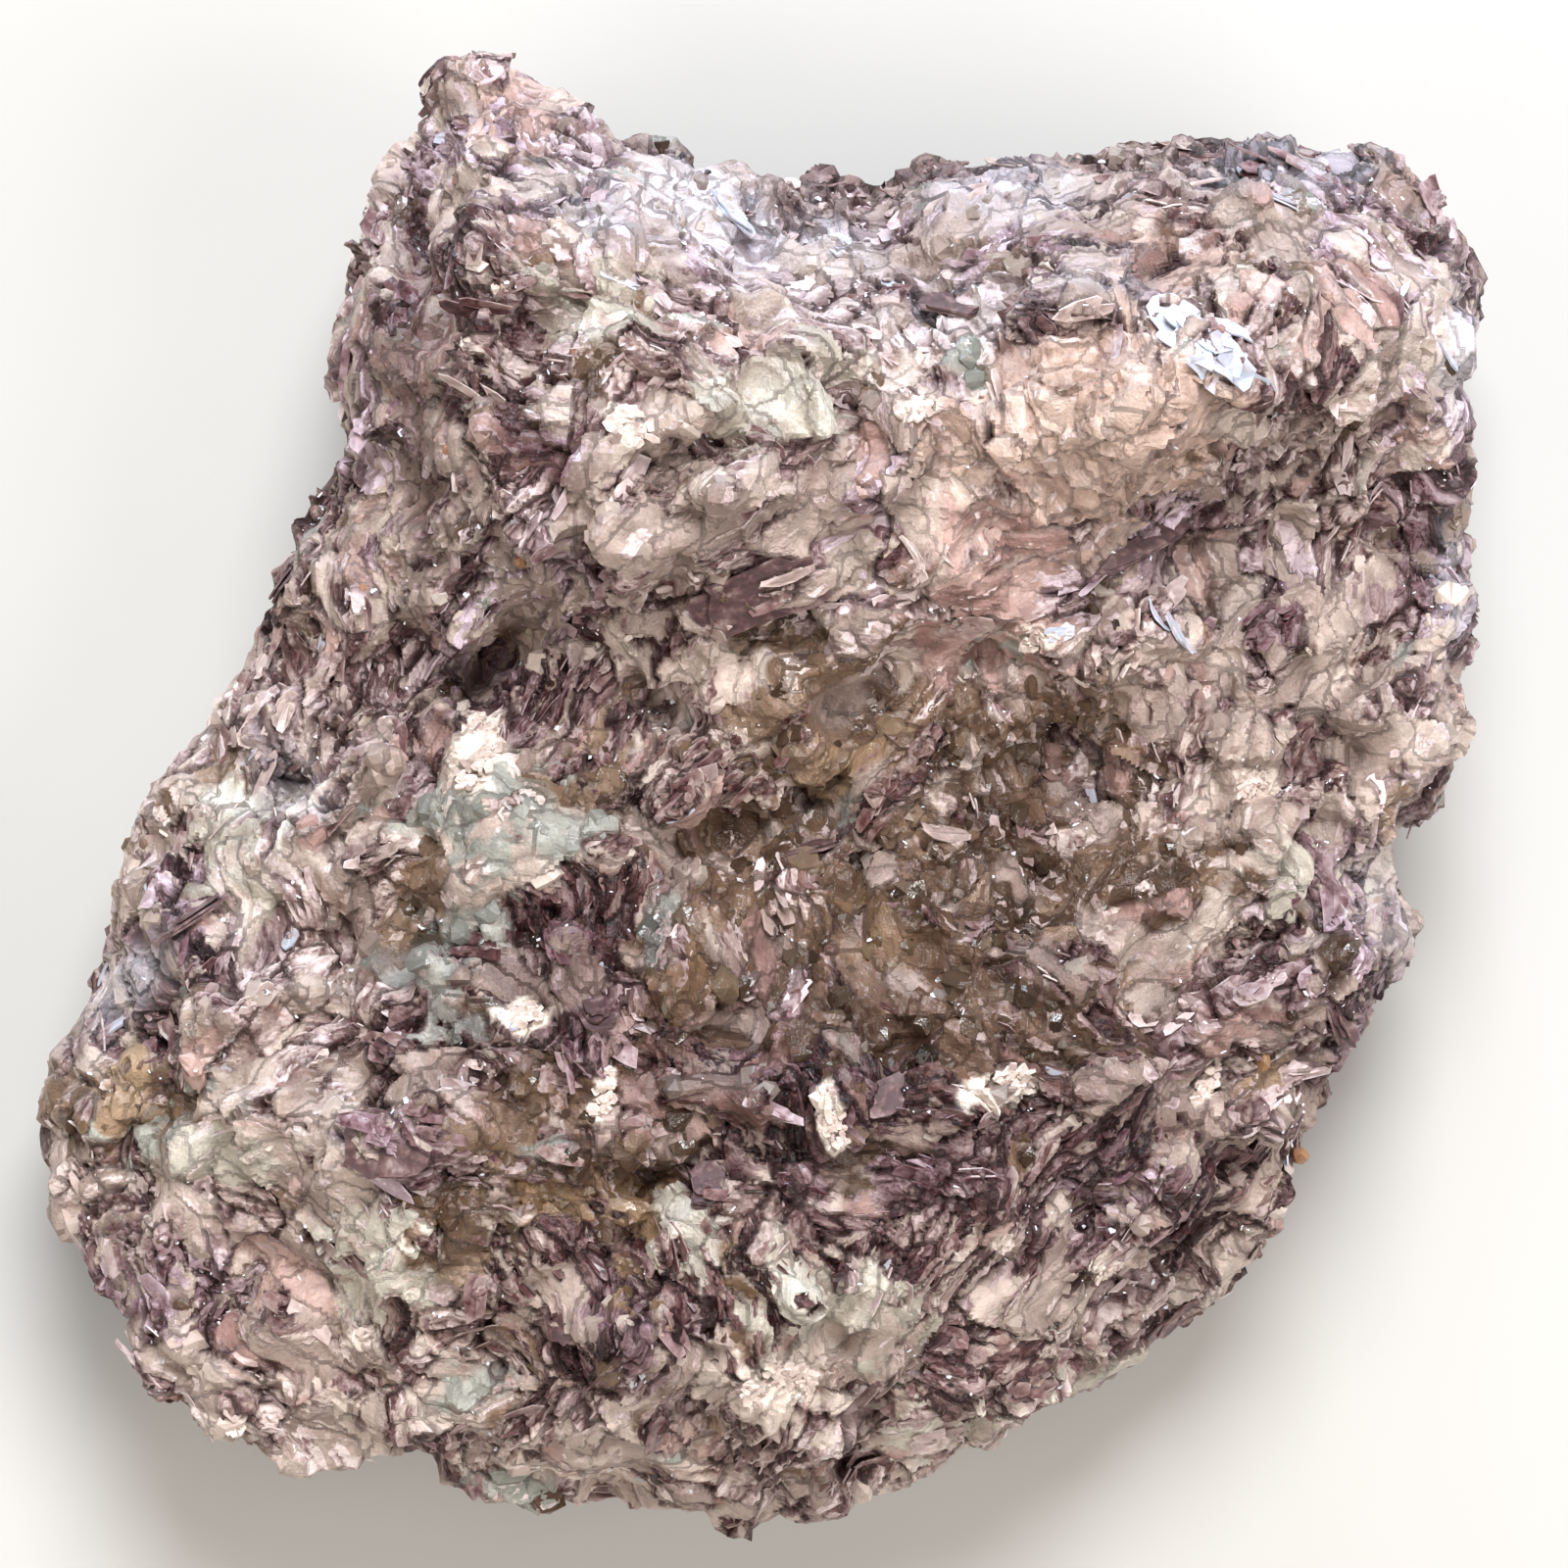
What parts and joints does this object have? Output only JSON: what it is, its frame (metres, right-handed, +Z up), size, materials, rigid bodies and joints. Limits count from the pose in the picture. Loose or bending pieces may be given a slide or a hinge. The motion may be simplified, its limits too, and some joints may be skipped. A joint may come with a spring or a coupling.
{
  "type": "raw lepidolite rock",
  "caption": "Hand-sized chunk of raw lepidolite: craggy lilac mica rock with a set-back peak, ledges, hollows and crystals, lying on its broken back.",
  "frame": {"origin": "middle of the rock's outline, on the surface that it lies on", "axes": "+X to the right and +Y to the peak's end of the broad face, +Z up out of the broad face"},
  "size_m": [0.0836, 0.086, 0.0371],
  "materials": {
    "lepidolite": "satin",
    "mica": "satin",
    "feldspar": "satin",
    "quartz": "gloss"
  },
  "bodies": {
    "root": {"lepidolite_rock": "lepidolite"}
  },
  "joints": []
}
